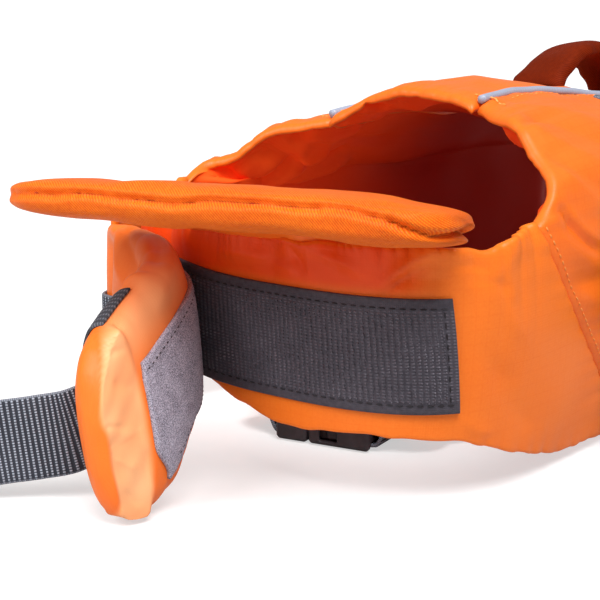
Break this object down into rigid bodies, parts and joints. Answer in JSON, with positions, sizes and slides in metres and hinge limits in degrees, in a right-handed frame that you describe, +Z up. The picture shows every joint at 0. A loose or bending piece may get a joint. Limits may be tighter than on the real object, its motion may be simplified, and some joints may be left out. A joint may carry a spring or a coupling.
{
  "type": "dog life jacket",
  "caption": "Padded flotation jacket for a small dog, filled out and open: arched back and sides, thin chest bands, an open padded hook-and-loop flap, chin pad, belly strap, back handle",
  "frame": {"origin": "middle of the floor area of everything built, at the height of the surface it stands on", "axes": "+Z up; -Y is forward, where the wearer's head comes out; +X is the wearer's left"},
  "size_m": [0.266, 0.4428, 0.1447],
  "materials": {
    "pack_cloth": "coated pack cloth, soft sheen",
    "ripstop": "ripstop nylon, soft sheen",
    "twill": "matte twill",
    "hook_tape": "hook tape",
    "loop_tape": "brushed loop tape",
    "webbing": "woven webbing",
    "reflective_piping": "reflective piping",
    "handle_cloth": "padded cloth",
    "buckle_plastic": "moulded, fine grain"
  },
  "bodies": {
    "root": {"back_panel": "pack_cloth", "side_panel_left": "pack_cloth", "side_panel_right": "pack_cloth", "chest_band_left": "ripstop", "chest_band_right": "ripstop", "chest_flap": "pack_cloth", "hook_strip": "hook_tape", "loop_patch": "loop_tape", "chin_pad": "twill", "chin_pad_hinge": "pack_cloth", "piping_left": "reflective_piping", "piping_right": "reflective_piping", "handle_webbing": "webbing", "handle_cover": "handle_cloth", "neck_strap": "webbing", "neck_buckle_prong": "buckle_plastic", "neck_buckle_tab": "webbing", "neck_buckle_socket": "buckle_plastic", "belly_strap_left": "webbing", "belly_strap_right": "webbing", "belly_buckle_socket": "buckle_plastic", "belly_buckle_prong": "buckle_plastic"}
  },
  "joints": []
}
